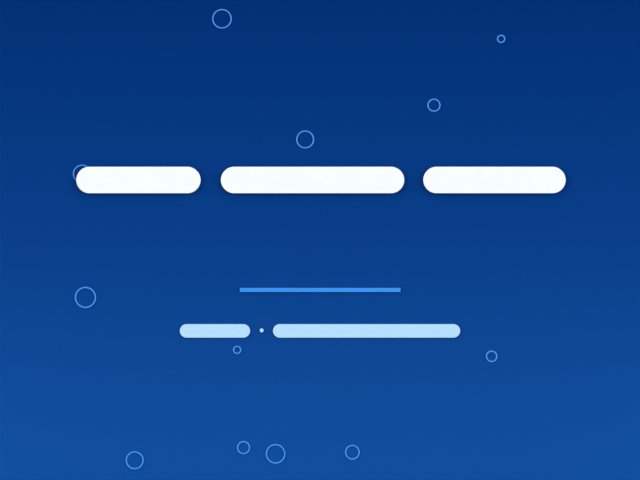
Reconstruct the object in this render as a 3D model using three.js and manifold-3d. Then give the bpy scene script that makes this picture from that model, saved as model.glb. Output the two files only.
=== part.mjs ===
// A small upright display sign for a counter or a tank rack, in millimetres.
//
// A landscape card, four wide to three high, stands on its long edge and looks along -Y. It is a
// printed face sheet bonded to a backing board. The face carries twelve bubble rings, a short rule
// and a caption line of plain bars, all in raised ink, and a heading line of three thicker bars,
// bonded on. A tab under the backing board drops into a pocket in a flat metal base, which lies on
// a thin rubber pad.
//
// +X is to the reader's right, +Y is away from the reader and +Z is up. The origin is the middle of
// the pad's underside.

import * as THREE from "three";
import { mergeVertices } from "three/addons/utils/BufferGeometryUtils.js";
import Module from "manifold-3d";

const wasm = await Module();
wasm.setup();

// Card

const cardWidth = 200;
const cardHeight = 150;
const faceThickness = 2;
const boardThickness = 3;
const sheetCorner = 0.5;
const edgeBreak = 0.25;

// Stand

const padThickness = 1.5;
const padInset = 4;
const baseDepth = 60;
const baseHeight = 12;
const baseCorner = 4;
const baseEdgeBreak = 0.8;
const tabWidth = 100;
const tabLength = 8;
const pocketClearance = 0.3;

// Marks on the face

const glueLine = 0.03;
const inkRise = 0.6;
const ringLine = 0.45;
const ringRise = 0.4;
const ringCrown = 0.15;
const ringFlat = 0.15;
const ruleEnds = { from: -24.9, to: 25 };
const ruleWidth = 1.3;
const ruleDrop = 15.5;
const ruleCorner = 0.1;

// The heading: three bars on one line, their ends at these distances right of the card's middle
const headingThickness = 1.5;
const headingHeight = 8.2;
const headingRise = 18.6;
const headingBars = [
  { from: -75.5, to: -37 },
  { from: -30.7, to: 26.1 },
  { from: 32, to: 76.1 },
];
const headingClearance = 0.3;

// The caption: two slimmer bars with a dot between them, a little above the line's middle
const captionHeight = 4.2;
const captionDrop = 28.2;
const captionBars = [
  { from: -43.5, to: -21.7 },
  { from: -14.6, to: 43.5 },
];
const captionDot = { x: -18.1, above: 0.15, diameter: 1.2 };

// Bubbles: middle of each ring from the middle of the card, and the radius of the line's middle
const bubbles = [
  { x: -30.45, z: 68.7, radius: 2.85 },
  { x: 56.25, z: 62.45, radius: 1.1 },
  { x: 35.4, z: 41.85, radius: 1.85 },
  { x: -4.6, z: 31.2, radius: 2.6 },
  { x: -73.9, z: 20.55, radius: 2.65 },
  { x: -72.85, z: -17.85, radius: 3.1 },
  { x: -25.75, z: -34.15, radius: 1.1 },
  { x: 53.3, z: -36.15, radius: 1.6 },
  { x: -57.55, z: -68.45, radius: 2.6 },
  { x: -23.75, z: -64.5, radius: 1.85 },
  { x: -13.8, z: -66.45, radius: 2.85 },
  { x: 10.05, z: -65.95, radius: 2.1 },
];

// Sides of the rounded forms: a whole ring, and one round end or corner of the others

const ringSides = 36;
const barEndSides = 10;
const baseCornerSides = 6;
const smallCornerSides = 3;
const mergeDistance = 1e-4;

// Levels that the sizes above give

const baseBottom = padThickness;
const baseTop = baseBottom + baseHeight;
const cardMiddle = baseTop + cardHeight / 2;
const boardFront = -boardThickness / 2;
const faceFront = boardFront - faceThickness;
const markBack = faceFront - glueLine;

// Materials

function finish(color, roughness, metalness = 0) {
  return new THREE.MeshStandardMaterial({ color, roughness, metalness });
}

const printedBlue = finish("#0a4089", 0.55);
const boardWhite = finish("#f2f2ef", 0.8);
const barWhite = finish("#f8fcff", 0.5);
const ruleBlue = finish("#3b94f3", 0.5);
const captionBlue = finish("#b6dcff", 0.5);
const ringBlue = finish("#5a9cec", 0.45);
const anodised = finish("#c4c6c8", 0.35, 1);
const padRubber = finish("#2b2c2e", 0.9);

// Shapes

// A rectangle with rounded corners, its middle at the origin.
function roundedRectangle(width, height, corner) {
  const x = width / 2;
  const y = height / 2;
  const shape = new THREE.Shape();
  shape.moveTo(x - corner, -y);
  shape.absarc(x - corner, -y + corner, corner, -Math.PI / 2, 0);
  shape.absarc(x - corner, y - corner, corner, 0, Math.PI / 2);
  shape.absarc(-x + corner, y - corner, corner, Math.PI / 2, Math.PI);
  shape.absarc(-x + corner, -y + corner, corner, Math.PI, Math.PI * 1.5);
  return shape;
}

// A bar's outline: straight above and below, with half-round ends, its middle at the origin.
function roundEndedBar(width, height) {
  const end = (width - height) / 2;
  const shape = new THREE.Shape();
  shape.absarc(end, 0, height / 2, -Math.PI / 2, Math.PI / 2);
  shape.absarc(-end, 0, height / 2, Math.PI / 2, Math.PI * 1.5);
  return shape;
}

// A flat sheet that rises from level 0 to its thickness, with its edges broken on both faces.
function sheet(shape, thickness, broken, curveSegments = smallCornerSides) {
  const geometry = new THREE.ExtrudeGeometry(shape, {
    depth: thickness - 2 * broken,
    bevelEnabled: broken > 0,
    bevelThickness: broken,
    bevelSize: broken,
    bevelOffset: -broken,
    bevelSegments: 1,
    curveSegments,
  });
  return geometry.translate(0, 0, broken);
}

// Stands a flat shape up: its own +Y turns to +Z and its thickness runs forward, along -Y.
function standUp(geometry, x, back, z) {
  return geometry.rotateX(Math.PI / 2).translate(x, back, z);
}

// The board's outline: the card, with the tab under the middle of its lower edge.
function boardOutline() {
  const x = cardWidth / 2;
  const y = cardHeight / 2;
  const shape = new THREE.Shape();
  shape.moveTo(-tabWidth / 2, -y);
  shape.lineTo(-tabWidth / 2, -y - tabLength);
  shape.lineTo(tabWidth / 2, -y - tabLength);
  shape.lineTo(tabWidth / 2, -y);
  shape.lineTo(x - sheetCorner, -y);
  shape.absarc(x - sheetCorner, -y + sheetCorner, sheetCorner, -Math.PI / 2, 0);
  shape.absarc(x - sheetCorner, y - sheetCorner, sheetCorner, 0, Math.PI / 2);
  shape.absarc(-x + sheetCorner, y - sheetCorner, sheetCorner, Math.PI / 2, Math.PI);
  shape.absarc(-x + sheetCorner, -y + sheetCorner, sheetCorner, Math.PI, Math.PI * 1.5);
  return shape;
}

// A bar with round ends, between two distances from the card's middle.
function barGeometry({ from, to }, height, rise, level, back = markBack) {
  const outline = roundEndedBar(to - from, height);
  return standUp(sheet(outline, rise, 0, barEndSides), (from + to) / 2, back, cardMiddle + level);
}

// A ring whose line has a flat back, and a front that slopes up from both shoulders to a flat.
function ringGeometry({ x, z, radius }) {
  const inner = radius - ringLine / 2;
  const outer = radius + ringLine / 2;
  const shoulder = ringRise - ringCrown;
  const profile = [
    new THREE.Vector2(inner, 0),
    new THREE.Vector2(inner, -shoulder),
    new THREE.Vector2(radius - ringFlat / 2, -ringRise),
    new THREE.Vector2(radius + ringFlat / 2, -ringRise),
    new THREE.Vector2(outer, -shoulder),
    new THREE.Vector2(outer, 0),
    new THREE.Vector2(inner, 0),
  ];
  const geometry = new THREE.LatheGeometry(profile, ringSides);
  return geometry.translate(x, markBack, cardMiddle + z);
}

// Cutting

function toSolid(geometry) {
  const bare = geometry.clone();
  bare.deleteAttribute("normal");
  bare.deleteAttribute("uv");
  const merged = mergeVertices(bare, mergeDistance);
  return new wasm.Manifold(
    new wasm.Mesh({
      numProp: 3,
      vertProperties: new Float32Array(merged.attributes.position.array),
      triVerts: new Uint32Array(merged.index.array),
    }),
  );
}

function cut(geometry, tool) {
  const mesh = toSolid(geometry).subtract(toSolid(tool)).getMesh();
  const result = new THREE.BufferGeometry();
  result.setAttribute("position", new THREE.BufferAttribute(mesh.vertProperties, 3));
  result.setIndex(new THREE.BufferAttribute(mesh.triVerts, 1));
  result.computeVertexNormals();
  return result;
}

// Assembly

const sign = new THREE.Group();

function addPart(name, geometry, material) {
  const mesh = new THREE.Mesh(geometry, material);
  mesh.name = name;
  sign.add(mesh);
}

// The rubber pad and the metal base

const padOutline = roundedRectangle(cardWidth - 2 * padInset, baseDepth - 2 * padInset, baseCorner);
addPart("stand_pad", sheet(padOutline, padThickness, 0, baseCornerSides), padRubber);

const baseOutline = roundedRectangle(cardWidth, baseDepth, baseCorner);
const baseBlock = sheet(baseOutline, baseHeight, baseEdgeBreak, baseCornerSides);
baseBlock.translate(0, 0, baseBottom);
const pocketWidth = tabWidth + 2 * pocketClearance;
const pocketGap = boardThickness + 2 * pocketClearance;
const pocketDepth = tabLength + pocketClearance;
const cutterHeight = pocketDepth + baseHeight;
const pocket = new THREE.BoxGeometry(pocketWidth, pocketGap, cutterHeight);
pocket.translate(0, 0, baseTop - pocketDepth + cutterHeight / 2);
addPart("stand_base", cut(baseBlock, pocket), anodised);

// The card: board and face, the face's lower edge level with the board's

const board = sheet(boardOutline(), boardThickness, edgeBreak);
addPart("backing_board", standUp(board, 0, boardThickness / 2, cardMiddle), boardWhite);
const face = sheet(roundedRectangle(cardWidth, cardHeight, sheetCorner), faceThickness, edgeBreak);
addPart("face_sheet", standUp(face, 0, boardFront, cardMiddle), printedBlue);

// The heading, the rule and the caption

headingBars.forEach((span, i) => {
  const bar = barGeometry(span, headingHeight, headingThickness, headingRise);
  addPart(`heading_bar_${i + 1}`, bar, barWhite);
});
const ruleLength = ruleEnds.to - ruleEnds.from;
const ruleMiddle = (ruleEnds.from + ruleEnds.to) / 2;
const rule = sheet(roundedRectangle(ruleLength, ruleWidth, ruleCorner), inkRise, 0);
addPart("centre_rule", standUp(rule, ruleMiddle, markBack, cardMiddle - ruleDrop), ruleBlue);
captionBars.forEach((span, i) => {
  addPart(`caption_bar_${i + 1}`, barGeometry(span, captionHeight, inkRise, -captionDrop), captionBlue);
});
const dotReach = captionDot.diameter / 2;
const dotSpan = { from: captionDot.x - dotReach, to: captionDot.x + dotReach };
const dotLevel = captionDot.above - captionDrop;
addPart("caption_dot", barGeometry(dotSpan, captionDot.diameter, inkRise, dotLevel), captionBlue);

// The bubbles: the one that runs behind the heading stops clear of its first bar. The cutter is that
// bar, grown by the clearance and sunk half its thickness in the face, so that it cuts right through.

const firstBar = headingBars[0];
const cutterLevel = faceFront + headingThickness / 2;
const cutter = barGeometry(
  { from: firstBar.from - headingClearance, to: firstBar.to + headingClearance },
  headingHeight + 2 * headingClearance,
  headingThickness,
  headingRise,
  cutterLevel,
);
bubbles.forEach((bubble, i) => {
  const whole = ringGeometry(bubble);
  const reach = bubble.radius + ringLine;
  const meetsHeading =
    Math.abs(bubble.z - headingRise) < headingHeight / 2 + reach &&
    bubble.x + reach > firstBar.from &&
    bubble.x - reach < firstBar.to;
  const name = `bubble_ring_${String(i + 1).padStart(2, "0")}`;
  addPart(name, meetsHeading ? cut(whole, cutter) : whole, ringBlue);
});

export default sign;
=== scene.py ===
# The looks of a small upright display sign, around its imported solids. Metres, +Z up.
#
# A flatbed printer lays a blue ground on a matt acrylic face and builds the rings, the rule and the
# caption up in raised ink. The heading's bars are cut from white acrylic and bonded on. The face is
# bonded to a foamed PVC board, whose tab stands in the pocket of an anodised aluminium base on a
# rubber pad. Every piece takes its place from the solid that it stands for.

import math

import bmesh
import bpy
from mathutils import Matrix, Vector


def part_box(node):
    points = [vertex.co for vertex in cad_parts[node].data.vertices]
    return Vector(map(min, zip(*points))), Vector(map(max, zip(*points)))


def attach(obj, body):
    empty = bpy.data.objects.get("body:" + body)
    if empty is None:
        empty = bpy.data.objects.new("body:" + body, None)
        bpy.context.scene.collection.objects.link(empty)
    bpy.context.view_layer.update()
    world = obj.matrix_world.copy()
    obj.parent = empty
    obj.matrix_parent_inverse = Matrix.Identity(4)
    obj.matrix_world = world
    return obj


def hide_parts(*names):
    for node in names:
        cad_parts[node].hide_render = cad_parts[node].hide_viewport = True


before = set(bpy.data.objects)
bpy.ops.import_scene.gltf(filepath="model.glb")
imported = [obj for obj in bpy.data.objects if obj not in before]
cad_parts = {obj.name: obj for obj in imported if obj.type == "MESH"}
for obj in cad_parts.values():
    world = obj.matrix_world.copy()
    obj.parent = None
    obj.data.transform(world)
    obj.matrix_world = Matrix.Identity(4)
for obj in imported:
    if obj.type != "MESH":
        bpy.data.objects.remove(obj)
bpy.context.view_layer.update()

MM = 0.001
TINY = 0.001 * MM

# Sizes that the solids' boxes don't give

SHEET_CORNER = 0.5 * MM
SHEET_RIM = 0.25 * MM
TAB_WIDTH = 100 * MM
TAB_CLEARANCE = 0.3 * MM
BASE_CORNER = 4 * MM
BASE_RIM = 0.8 * MM
PAD_RIM = 0.25 * MM
MARK_SUNK = 0.1 * MM
MARK_RIM = 0.2 * MM
RULE_CORNER = 0.12 * MM
RULE_RIM = 0.08 * MM
RING_LINE = 0.45 * MM
CUT_RING = "bubble_ring_05"
CUT_RING_RADIUS = 2.65 * MM

# Roundness, in steps

CORNER_STEPS = 8
RIM_STEPS = 3
BAR_END_STEPS = 16
RING_SECTION_SIDES = 16
RING_STEPS = 72

# Telling edges and faces apart: the axis that a flat piece is thin along, how nearly an edge or a
# normal keeps to an axis, and the turn between two faces that makes their edge a rim

THIN_ALONG_Y = 1
THIN_ALONG_Z = 2
NEARLY_ALONG = 0.99
RIM_TURN = math.radians(30)


# Making meshes

def solid_block(low, high):
    """A box between two corners, as a bmesh."""
    bm = bmesh.new()
    bmesh.ops.create_cube(bm, size=1)
    bmesh.ops.scale(bm, vec=high - low, verts=bm.verts)
    bmesh.ops.translate(bm, vec=(low + high) / 2, verts=bm.verts)
    return bm


def cut_across(bm, faces, point, normal, clear_outer=False):
    """Cuts faces along a plane, and can clear away what lies past it."""
    edges = {e for f in faces for e in f.edges}
    verts = {v for f in faces for v in f.verts}
    bmesh.ops.bisect_plane(
        bm,
        geom=[*verts, *edges, *faces],
        dist=TINY,
        plane_co=point,
        plane_no=normal,
        clear_outer=clear_outer,
    )


def draw_out(bm, faces, rise):
    """Extrudes faces up, or down where the rise is negative, and leaves no wall across the inside."""
    drawn = bmesh.ops.extrude_face_region(bm, geom=faces)["geom"]
    end = [v for v in drawn if isinstance(v, bmesh.types.BMVert)]
    bmesh.ops.translate(bm, vec=(0, 0, rise), verts=end)
    bmesh.ops.delete(bm, geom=[f for f in faces if f.is_valid], context="FACES")


def runs_through(edge, axis):
    """Whether an edge runs straight through the piece's thickness."""
    along = edge.verts[1].co - edge.verts[0].co
    return abs(along[axis]) > NEARLY_ALONG * along.length


def round_off(bm, edges, radius, steps):
    bmesh.ops.bevel(
        bm,
        geom=edges,
        offset=radius,
        offset_type="OFFSET",
        segments=steps,
        profile=0.5,
        affect="EDGES",
        material=-1,
        clamp_overlap=True,
    )


def soften(bm, axis, corner, rim, corner_steps, front_only=False):
    """Rounds a flat piece's corners, and the rims of both its faces or of its front alone."""
    round_off(bm, [e for e in bm.edges if runs_through(e, axis)], corner, corner_steps)
    front = min(v.co[axis] for v in bm.verts)
    rims = [
        e
        for e in bm.edges
        if not runs_through(e, axis)
        and e.calc_face_angle(0) > RIM_TURN
        and (not front_only or e.verts[0].co[axis] < front + TINY)
    ]
    round_off(bm, rims, rim, RIM_STEPS)
    return bm


def show(name, data):
    """An object of the scene that holds this data, at the origin."""
    shown = bpy.data.objects.new(name, data)
    bpy.context.scene.collection.objects.link(shown)
    return shown


def show_mesh(bm, name, material):
    mesh = bpy.data.meshes.new(name)
    bm.to_mesh(mesh)
    bm.free()
    mesh.materials.append(material)
    return show(name, mesh)


def finish_piece(bm, name, material, slot, *nodes):
    """Makes the piece, smooth round its softened edges and flat on its faces, and puts it in the frame."""
    bmesh.ops.recalc_face_normals(bm, faces=bm.faces)
    for face in bm.faces:
        face.smooth = True
    piece = show_mesh(bm, name, material)
    flat = piece.modifiers.new("Flat faces", "WEIGHTED_NORMAL")
    flat.keep_sharp = True
    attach(piece, "root")
    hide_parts(*nodes)


# Making materials

# A Mix node's colour sockets, which share their names with its number sockets
MIX_FIRST = 6
MIX_SECOND = 7
MIX_RESULT = 2

# Bands that a wave texture has in a unit of length, at a scale of 1
WAVE_BANDS = 10 / math.pi


def linear(hex_colour):
    """An sRGB hex colour as linear RGBA."""
    levels = [int(hex_colour[i : i + 2], 16) / 255 for i in (1, 3, 5)]
    return [c / 12.92 if c <= 0.04045 else ((c + 0.055) / 1.055) ** 2.4 for c in levels] + [1]


def add(tree, kind, links=None, stops=(), **settings):
    """Adds a node. links gives its inputs: each is a number, a colour or another node's output.
    stops gives a colour ramp's places and colours, its two ends first."""
    made = tree.nodes.new(kind)
    for name, value in settings.items():
        setattr(made, name, value)
    for name, value in (links or {}).items():
        if isinstance(value, bpy.types.NodeSocket):
            tree.links.new(value, made.inputs[name])
        else:
            made.inputs[name].default_value = value
    for i, (place, colour) in enumerate(stops):
        elements = made.color_ramp.elements
        stop = elements[i] if i < len(elements) else elements.new(place)
        stop.position = place
        stop.color = linear(colour)
    return made


def start_material(name, roughness=0.5, specular=0.5, metallic=0.0):
    """A material with its Principled shader, and its Object coordinates."""
    material = bpy.data.materials.new(name)
    material.use_nodes = True
    tree = material.node_tree
    tree.nodes.clear()
    shader = add(
        tree,
        "ShaderNodeBsdfPrincipled",
        {"Roughness": roughness, "Specular IOR Level": specular, "Metallic": metallic},
    )
    add(tree, "ShaderNodeOutputMaterial", {"Surface": shader.outputs["BSDF"]})
    place = add(tree, "ShaderNodeTexCoord").outputs["Object"]
    return material, tree, shader, place


# UV-cured ink on matt acrylic. A flatbed printer's fine dots look dead flat at arm's length: a
# smooth fade with a faint grain and next to no gloss. The ink runs a little way over the softened
# rim, and the cut edges show the opal acrylic.
PRINT_LOW = "#1252a2"
PRINT_MIDDLE = "#083e88"
PRINT_HIGH = "#002f72"
OPAL_EDGE = "#e6ebef"
PRINT_ROUGHNESS = 0.45
PRINT_SPECULAR = 0.01
DOT_GRAIN = 0.3 * MM
DOT_RELIEF = 0.004 * MM
GRAIN_TINT = 0.06
INK_DEPTH = 0.08 * MM


def printed_acrylic():
    low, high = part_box("face_sheet")
    material, tree, shader, place = start_material(
        "UV-printed matt acrylic", PRINT_ROUGHNESS, PRINT_SPECULAR
    )
    axes = add(tree, "ShaderNodeSeparateXYZ", {"Vector": place}).outputs
    height = add(
        tree,
        "ShaderNodeMapRange",
        {"Value": axes["Z"], "From Min": low.z, "From Max": high.z},
    )
    fade = add(
        tree,
        "ShaderNodeValToRGB",
        {"Fac": height.outputs["Result"]},
        stops=[(0, PRINT_LOW), (1, PRINT_HIGH), (0.5, PRINT_MIDDLE)],
    )
    dots = add(tree, "ShaderNodeTexNoise", {"Vector": place, "Scale": 1 / DOT_GRAIN, "Detail": 2.0})
    grain = add(
        tree,
        "ShaderNodeMapRange",
        {"Value": dots.outputs["Fac"], "To Min": 1 - GRAIN_TINT, "To Max": 1 + GRAIN_TINT},
    )
    ink = add(
        tree,
        "ShaderNodeVectorMath",
        {0: fade.outputs["Color"], "Scale": grain.outputs["Result"]},
        operation="SCALE",
    )
    behind_ink = add(
        tree,
        "ShaderNodeMath",
        {0: axes["Y"], 1: low.y + INK_DEPTH},
        operation="GREATER_THAN",
    )
    colour = add(
        tree,
        "ShaderNodeMix",
        {
            "Factor": behind_ink.outputs["Value"],
            MIX_FIRST: ink.outputs["Vector"],
            MIX_SECOND: linear(OPAL_EDGE),
        },
        data_type="RGBA",
    )
    relief = add(
        tree,
        "ShaderNodeBump",
        {"Height": dots.outputs["Fac"], "Distance": DOT_RELIEF, "Strength": 1.0},
    )
    tree.links.new(colour.outputs[MIX_RESULT], shader.inputs["Base Color"])
    tree.links.new(relief.outputs["Normal"], shader.inputs["Normal"])
    return material


# Foamed PVC sheet: extruded between rollers, so both faces have a chalky white skin, finely pebbled
# and with faint lines along the sheet's run. The core of fine bubbles shows as a pitted, duller band
# along the sawn edges.
PVC_SKIN_DULL = "#f1f1ee"
PVC_SKIN_CLEAN = "#f3f3f0"
PVC_CORE = "#dddcd6"
PVC_ROUGHNESS = 0.6
PVC_SPECULAR = 0.4
PVC_CELL = 0.35 * MM
CELL_DEPTH = 0.1 * MM
CELL_STRENGTH = 0.8
SKIN_DEPTH = 0.3 * MM
SKIN_FADE = 0.09 * MM
SKIN_PEBBLE = 0.9 * MM
PEBBLE_DEPTH = 0.03 * MM
DRAWN_LINE = 1.2 * MM
DRAWN_STRETCH = 60
DRAWN_SPAN = (0.35, 0.65)


def foamed_pvc():
    low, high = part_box("backing_board")
    middle = (low.y + high.y) / 2
    core_edge = high.y - middle - SKIN_DEPTH
    material, tree, shader, place = start_material("extruded foamed PVC", PVC_ROUGHNESS, PVC_SPECULAR)
    axes = add(tree, "ShaderNodeSeparateXYZ", {"Vector": place}).outputs
    off_middle = add(tree, "ShaderNodeMath", {0: axes["Y"], 1: middle}, operation="SUBTRACT")
    depth = add(tree, "ShaderNodeMath", {0: off_middle.outputs["Value"]}, operation="ABSOLUTE")
    core = add(
        tree,
        "ShaderNodeMapRange",
        {"Value": depth.outputs["Value"], "From Min": core_edge, "From Max": core_edge - SKIN_FADE},
    )
    cells = add(tree, "ShaderNodeTexVoronoi", {"Vector": place, "Scale": 1 / PVC_CELL})
    pits = add(
        tree,
        "ShaderNodeMath",
        {0: cells.outputs["Distance"], 1: core.outputs["Result"]},
        operation="MULTIPLY",
    )
    drawn = add(tree, "ShaderNodeMapping", {"Vector": place, "Scale": (1 / DRAWN_STRETCH, 1, 1)})
    lines = add(
        tree,
        "ShaderNodeTexNoise",
        {"Vector": drawn.outputs["Vector"], "Scale": 1 / DRAWN_LINE, "Detail": 2.0},
    )
    skin = add(
        tree,
        "ShaderNodeValToRGB",
        {"Fac": lines.outputs["Fac"]},
        stops=zip(DRAWN_SPAN, (PVC_SKIN_DULL, PVC_SKIN_CLEAN)),
    )
    colour = add(
        tree,
        "ShaderNodeMix",
        {
            "Factor": core.outputs["Result"],
            MIX_FIRST: skin.outputs["Color"],
            MIX_SECOND: linear(PVC_CORE),
        },
        data_type="RGBA",
    )
    pebbles = add(tree, "ShaderNodeTexNoise", {"Vector": place, "Scale": 1 / SKIN_PEBBLE, "Detail": 1.0})
    skin_relief = add(
        tree,
        "ShaderNodeBump",
        {"Height": pebbles.outputs["Fac"], "Distance": PEBBLE_DEPTH, "Strength": 1.0},
    )
    relief = add(
        tree,
        "ShaderNodeBump",
        {
            "Height": pits.outputs["Value"],
            "Distance": CELL_DEPTH,
            "Strength": CELL_STRENGTH,
            "Normal": skin_relief.outputs["Normal"],
        },
    )
    tree.links.new(colour.outputs[MIX_RESULT], shader.inputs["Base Color"])
    tree.links.new(relief.outputs["Normal"], shader.inputs["Normal"])
    return material


# Aluminium plate, milled, blasted with glass beads and anodised clear: a soft, even silver-grey
# sheen with a fine frosted grain, and a thin line of light along each rounded rim.
ANODISED_DULL = "#b3b5b7"
ANODISED_BRIGHT = "#c1c3c5"
ANODISED_SMOOTHEST = 0.4
ANODISED_ROUGHEST = 0.5
BEAD_DENT = 0.4 * MM
DENT_DEPTH = 0.02 * MM
DENT_SPAN = (0.3, 0.7)


def anodised_aluminium():
    material, tree, shader, place = start_material("bead-blasted anodised aluminium", metallic=1.0)
    dents = add(tree, "ShaderNodeTexNoise", {"Vector": place, "Scale": 1 / BEAD_DENT, "Detail": 3.0})
    tone = add(
        tree,
        "ShaderNodeValToRGB",
        {"Fac": dents.outputs["Fac"]},
        stops=zip(DENT_SPAN, (ANODISED_DULL, ANODISED_BRIGHT)),
    )
    rough = add(
        tree,
        "ShaderNodeMapRange",
        {"Value": dents.outputs["Fac"], "To Min": ANODISED_SMOOTHEST, "To Max": ANODISED_ROUGHEST},
    )
    relief = add(
        tree,
        "ShaderNodeBump",
        {"Height": dents.outputs["Fac"], "Distance": DENT_DEPTH, "Strength": 1.0},
    )
    tree.links.new(tone.outputs["Color"], shader.inputs["Base Color"])
    tree.links.new(rough.outputs["Result"], shader.inputs["Roughness"])
    tree.links.new(relief.outputs["Normal"], shader.inputs["Normal"])
    return material


# Neoprene sheet, die-cut: black with a dry bloom, a dull skin and a fine leathery grain.
RUBBER_DARK = "#202123"
RUBBER_BLOOM = "#36373a"
RUBBER_ROUGHNESS = 0.85
RUBBER_SPECULAR = 0.3
RUBBER_GRAIN = 0.6 * MM
RUBBER_RELIEF = 0.05 * MM
RUBBER_SPAN = (0.35, 0.75)


def neoprene():
    material, tree, shader, place = start_material("die-cut neoprene", RUBBER_ROUGHNESS, RUBBER_SPECULAR)
    grain = add(tree, "ShaderNodeTexNoise", {"Vector": place, "Scale": 1 / RUBBER_GRAIN, "Detail": 4.0})
    tone = add(
        tree,
        "ShaderNodeValToRGB",
        {"Fac": grain.outputs["Fac"]},
        stops=zip(RUBBER_SPAN, (RUBBER_DARK, RUBBER_BLOOM)),
    )
    relief = add(
        tree,
        "ShaderNodeBump",
        {"Height": grain.outputs["Fac"], "Distance": RUBBER_RELIEF, "Strength": 1.0},
    )
    tree.links.new(tone.outputs["Color"], shader.inputs["Base Color"])
    tree.links.new(relief.outputs["Normal"], shader.inputs["Normal"])
    return material


# UV-cured ink built up in passes: a tough satin plastic, whose top has a faint ripple along the
# print head's travel, a shade darker where it lies thinner. The ripple is drawn about four times as
# coarse as the real one, to show.
CAPTION_INK = "#b5e1ff"
RULE_INK = "#3290f3"
RING_INK_LOW = "#4aa3f9"
RING_INK_HIGH = "#5098ec"
INK_ROUGHNESS = 0.42
INK_SPECULAR = 0.3
PASS_WIDTH = 0.9 * MM
PASS_RIPPLE = 0.03 * MM
PASS_STRENGTH = 0.6
PASS_TINT = 0.03


def raised_ink(name, colour_low, colour_high):
    low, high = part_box("face_sheet")
    material, tree, shader, place = start_material(name, INK_ROUGHNESS, INK_SPECULAR)
    axes = add(tree, "ShaderNodeSeparateXYZ", {"Vector": place}).outputs
    height = add(
        tree,
        "ShaderNodeMapRange",
        {"Value": axes["Z"], "From Min": low.z, "From Max": high.z},
    )
    tone = add(
        tree,
        "ShaderNodeValToRGB",
        {"Fac": height.outputs["Result"]},
        stops=[(0, colour_low), (1, colour_high)],
    )
    passes = add(
        tree,
        "ShaderNodeTexWave",
        {
            "Vector": place,
            "Scale": 1 / (WAVE_BANDS * PASS_WIDTH),
            "Distortion": 1.5,
            "Detail Scale": 2.0,
        },
        bands_direction="Z",
    )
    cover = add(
        tree,
        "ShaderNodeMapRange",
        {"Value": passes.outputs["Fac"], "To Min": 1 - PASS_TINT, "To Max": 1 + PASS_TINT},
    )
    ink = add(
        tree,
        "ShaderNodeVectorMath",
        {0: tone.outputs["Color"], "Scale": cover.outputs["Result"]},
        operation="SCALE",
    )
    relief = add(
        tree,
        "ShaderNodeBump",
        {"Height": passes.outputs["Fac"], "Distance": PASS_RIPPLE, "Strength": PASS_STRENGTH},
    )
    tree.links.new(ink.outputs["Vector"], shader.inputs["Base Color"])
    tree.links.new(relief.outputs["Normal"], shader.inputs["Normal"])
    return material


# Cast acrylic cut by laser: hard, glossy and dead white, with edges that the beam leaves polished
# and very finely fluted through the thickness. The flutes are drawn about twice as wide, to show.
ACRYLIC_WHITE = "#fafeff"
ACRYLIC_HAZE = "#f6fcfe"
ACRYLIC_IOR = 1.49
ACRYLIC_SMOOTHEST = 0.12
ACRYLIC_ROUGHEST = 0.26
HAZE_PATCH = 4 * MM
HAZE_SPAN = (0.3, 0.7)
FLUTE_WIDTH = 0.25 * MM
FLUTE_STRETCH = 50
FLUTE_DEPTH = 0.02 * MM
FLUTE_STRENGTH = 0.6


def cut_acrylic():
    material, tree, shader, place = start_material("laser-cut white acrylic")
    shader.inputs["IOR"].default_value = ACRYLIC_IOR
    haze = add(tree, "ShaderNodeTexNoise", {"Vector": place, "Scale": 1 / HAZE_PATCH, "Detail": 3.0})
    gloss = add(
        tree,
        "ShaderNodeMapRange",
        {"Value": haze.outputs["Fac"], "To Min": ACRYLIC_SMOOTHEST, "To Max": ACRYLIC_ROUGHEST},
    )
    tone = add(
        tree,
        "ShaderNodeValToRGB",
        {"Fac": haze.outputs["Fac"]},
        stops=zip(HAZE_SPAN, (ACRYLIC_HAZE, ACRYLIC_WHITE)),
    )
    # Stretched through the thickness, so that it flutes the edges and leaves the front flat
    through = add(tree, "ShaderNodeMapping", {"Vector": place, "Scale": (1, 1 / FLUTE_STRETCH, 1)})
    flutes = add(
        tree,
        "ShaderNodeTexNoise",
        {"Vector": through.outputs["Vector"], "Scale": 1 / FLUTE_WIDTH, "Detail": 0.0},
    )
    axes = add(tree, "ShaderNodeSeparateXYZ", {"Vector": place}).outputs
    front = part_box("heading_bar_1")[0].y
    on_edge = add(
        tree,
        "ShaderNodeMapRange",
        {"Value": axes["Y"], "From Min": front + MARK_RIM / 2, "From Max": front + MARK_RIM},
    )
    fluting = add(
        tree,
        "ShaderNodeMath",
        {0: flutes.outputs["Fac"], 1: on_edge.outputs["Result"]},
        operation="MULTIPLY",
    )
    relief = add(
        tree,
        "ShaderNodeBump",
        {"Height": fluting.outputs["Value"], "Distance": FLUTE_DEPTH, "Strength": FLUTE_STRENGTH},
    )
    tree.links.new(tone.outputs["Color"], shader.inputs["Base Color"])
    tree.links.new(gloss.outputs["Result"], shader.inputs["Roughness"])
    tree.links.new(relief.outputs["Normal"], shader.inputs["Normal"])
    return material


# The card

def make_face():
    block = solid_block(*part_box("face_sheet"))
    bm = soften(block, THIN_ALONG_Y, SHEET_CORNER, SHEET_RIM, CORNER_STEPS)
    finish_piece(bm, "printed_face", printed_acrylic(), "printed_face", "face_sheet")


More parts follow.
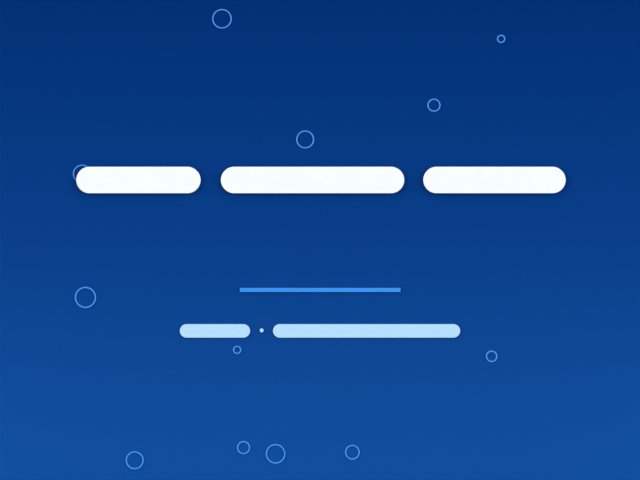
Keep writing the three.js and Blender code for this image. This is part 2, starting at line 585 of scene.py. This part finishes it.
def make_board():
    """The backing board: its tab is drawn down out of the middle of its lower edge."""
    low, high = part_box("backing_board")
    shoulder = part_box("face_sheet")[0].z
    bm = solid_block(Vector((low.x, low.y, shoulder)), high)
    across = Vector((1, 0, 0))
    for side in (-1, 1):
        cut_across(bm, bm.faces[:], side * TAB_WIDTH / 2 * across, across)
    under = [
        f
        for f in bm.faces
        if f.normal.z < -NEARLY_ALONG and abs(f.calc_center_median().x) < TAB_WIDTH / 2
    ]
    draw_out(bm, under, low.z - shoulder)
    soften(bm, THIN_ALONG_Y, SHEET_CORNER, SHEET_RIM, CORNER_STEPS)
    finish_piece(bm, "foam_board", foamed_pvc(), "foam_board", "backing_board")


# The marks

def nodes_named(start):
    return sorted(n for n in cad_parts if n.startswith(start))


def round_end(node):
    """Just under half a bar's height, which rounds its whole end."""
    low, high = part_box(node)
    return (high.z - low.z) / 2 - TINY


def make_bar(node, name, material, slot, corner, rim=MARK_RIM, corner_steps=BAR_END_STEPS):
    """A flat mark that stands out from the face. Its back is sunk a little in it, so that none floats."""
    low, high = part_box(node)
    high.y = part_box("face_sheet")[0].y + MARK_SUNK
    bm = soften(solid_block(low, high), THIN_ALONG_Y, corner, rim, corner_steps, front_only=True)
    finish_piece(bm, name, material, slot, node)


def make_bars():
    white = cut_acrylic()
    pale = raised_ink("raised pale-blue UV ink", CAPTION_INK, CAPTION_INK)
    bright = raised_ink("raised bright-blue UV ink", RULE_INK, RULE_INK)
    for node in nodes_named("heading_bar_"):
        make_bar(node, node.replace("bar", "mark"), white, "heading_white", round_end(node))
    for node in nodes_named("caption_"):
        make_bar(node, node.replace("caption", "caption_mark"), pale, "caption_blue", round_end(node))
    make_bar("centre_rule", "rule_mark", bright, "rule_blue", RULE_CORNER, RULE_RIM, RIM_STEPS)


def ring_shape(node):
    """A ring's middle and its line's radius. The cut ring's box is whole only at its left and top."""
    low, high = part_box(node)
    if node != CUT_RING:
        return (low + high) / 2, (high.x - low.x - RING_LINE) / 2
    reach = CUT_RING_RADIUS + RING_LINE / 2
    return Vector((low.x + reach, 0, high.z - reach)), CUT_RING_RADIUS


def shown_past_bar(centre, radius):
    """Where a ring comes out from behind the first heading bar's round end, and how far it then turns."""
    low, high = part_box("heading_bar_1")
    end_radius = (high.z - low.z) / 2
    end_centre = Vector((low.x + end_radius, 0, (low.z + high.z) / 2))
    away = end_centre - Vector((centre.x, 0, centre.z))
    towards = math.atan2(away.z, away.x)
    chord = (radius**2 - end_radius**2 + away.length**2) / (2 * away.length)
    half_hidden = math.acos(chord / radius)
    return towards + half_hidden, 2 * (math.pi - half_hidden)


def make_ring(node, name, material):
    """A raised line in a circle: a crowned section spun round the bubble's middle."""
    face_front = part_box("face_sheet")[0].y
    rise = face_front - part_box(node)[0].y
    centre, radius = ring_shape(node)
    hub = Vector((centre.x, face_front, centre.z))
    whole = node != CUT_RING
    start, turn = (0, 2 * math.pi) if whole else shown_past_bar(centre, radius)
    bm = bmesh.new()
    bmesh.ops.create_circle(bm, cap_ends=True, segments=RING_SECTION_SIDES, radius=RING_LINE / 2)
    bmesh.ops.scale(bm, vec=(1, rise / (RING_LINE / 2), 1), verts=bm.verts)
    cut_across(bm, bm.faces[:], (0, MARK_SUNK, 0), (0, 1, 0), clear_outer=True)
    bmesh.ops.delete(bm, geom=bm.faces[:], context="FACES_ONLY")
    bmesh.ops.translate(bm, vec=hub + Vector((radius, 0, 0)), verts=bm.verts)
    bmesh.ops.rotate(bm, cent=hub, matrix=Matrix.Rotation(-start, 3, "Y"), verts=bm.verts)
    bmesh.ops.spin(
        bm,
        geom=bm.verts[:] + bm.edges[:],
        cent=hub,
        axis=(0, -1, 0),
        angle=turn,
        steps=RING_STEPS,
        use_merge=whole,
    )
    if not whole:
        bmesh.ops.holes_fill(bm, edges=[e for e in bm.edges if e.is_boundary])
    finish_piece(bm, name, material, "ring_blue", node)


def make_rings():
    line_blue = raised_ink("raised mid-blue UV ink", RING_INK_LOW, RING_INK_HIGH)
    for node in nodes_named("bubble_ring_"):
        make_ring(node, node.replace("ring", "line"), line_blue)


# The stand

def make_base():
    """The aluminium base, with the pocket that the board's tab stands in."""
    low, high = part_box("stand_base")
    bm = soften(solid_block(low, high), THIN_ALONG_Z, BASE_CORNER, BASE_RIM, CORNER_STEPS)
    tab_low, tab_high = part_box("backing_board")
    side = TAB_WIDTH / 2 + TAB_CLEARANCE
    front = tab_low.y - TAB_CLEARANCE
    back = tab_high.y + TAB_CLEARANCE
    across = Vector((1, 0, 0))
    away = Vector((0, 1, 0))
    for normal, reach in ((across, -side), (across, side), (away, front), (away, back)):
        top = [
            f
            for f in bm.faces
            if f.normal.z > NEARLY_ALONG and f.calc_center_median().z > high.z - TINY
        ]
        cut_across(bm, top, reach * normal, normal)
    bm.normal_update()
    mouth = [
        f
        for f in bm.faces
        if f.normal.z > NEARLY_ALONG
        and all(abs(v.co.x) < side + TINY and front - TINY < v.co.y < back + TINY for v in f.verts)
    ]
    draw_out(bm, mouth, tab_low.z - TAB_CLEARANCE - high.z)
    finish_piece(bm, "aluminium_base", anodised_aluminium(), "anodised_base", "stand_base")


def make_pad():
    block = solid_block(*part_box("stand_pad"))
    bm = soften(block, THIN_ALONG_Z, BASE_CORNER, PAD_RIM, CORNER_STEPS)
    finish_piece(bm, "rubber_pad", neoprene(), "pad_rubber", "stand_pad")


# The room

FLOOR_REACH = 30.0
FLOOR_SIDES = 96
FLOOR_PALE = "#bab9b8"
FLOOR_ROUGHNESS = 0.8
FLOOR_SPECULAR = 0.2


def make_floor():
    material, _, shader, _ = start_material("matt painted floor", FLOOR_ROUGHNESS, FLOOR_SPECULAR)
    shader.inputs["Base Color"].default_value = linear(FLOOR_PALE)
    bm = bmesh.new()
    bmesh.ops.create_circle(bm, cap_ends=True, segments=FLOOR_SIDES, radius=FLOOR_REACH)
    floor = show_mesh(bm, "studio_floor", material)


# Broad, soft lights: bearing round the sign from its front, height above the floor, and strength.
LIGHT_SPREAD = 45
LIGHTS = {
    "left_light": (-52, 12, 1.38),
    "right_light": (52, 12, 1.38),
    "top_light": (170, 70, 0.7),
    "back_left_light": (-140, 45, 0.6),
    "back_right_light": (150, 40, 0.4),
}
WORLD_PALE = "#e6e8eb"
WORLD_STRENGTH = 0.75


def light_room():
    for name, (bearing, height, strength) in LIGHTS.items():
        light = bpy.data.lights.new(name, "SUN")
        light.energy = strength
        light.angle = math.radians(LIGHT_SPREAD)
        lamp = show(name, light)
        # An unturned sun shines straight down
        lamp.rotation_euler = (math.radians(90 - height), 0, math.radians(bearing))
    world = bpy.data.worlds.new("pale_room")
    bpy.context.scene.world = world
    world.use_nodes = True
    sky = world.node_tree.nodes["Background"]
    sky.inputs["Color"].default_value = linear(WORLD_PALE)
    sky.inputs["Strength"].default_value = WORLD_STRENGTH
    bpy.context.scene.view_settings.view_transform = "Standard"


# The lens's focal length and the film's width are plain millimetres, as Blender takes them.
LENS = 100.0
FILM = 36.0
FRAMED_INSIDE_EDGE = 0.6 * MM
NEAREST_SEEN = 10 * MM


def aim_camera():
    """Square to the card and level with its middle, so that the card's face fills the picture."""
    low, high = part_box("face_sheet")
    framed = high.x - low.x - 2 * FRAMED_INSIDE_EDGE
    lens = bpy.data.cameras.new("camera")
    lens.lens = LENS
    lens.sensor_width = FILM
    lens.clip_start = NEAREST_SEEN
    camera = show("camera", lens)
    camera.location = (0, low.y - framed * LENS / FILM, (low.z + high.z) / 2)
    camera.rotation_euler = (math.pi / 2, 0, 0)
    bpy.context.scene.camera = camera


aim_camera()
light_room()
make_floor()
make_face()
make_board()
make_bars()
make_rings()
make_base()
make_pad()
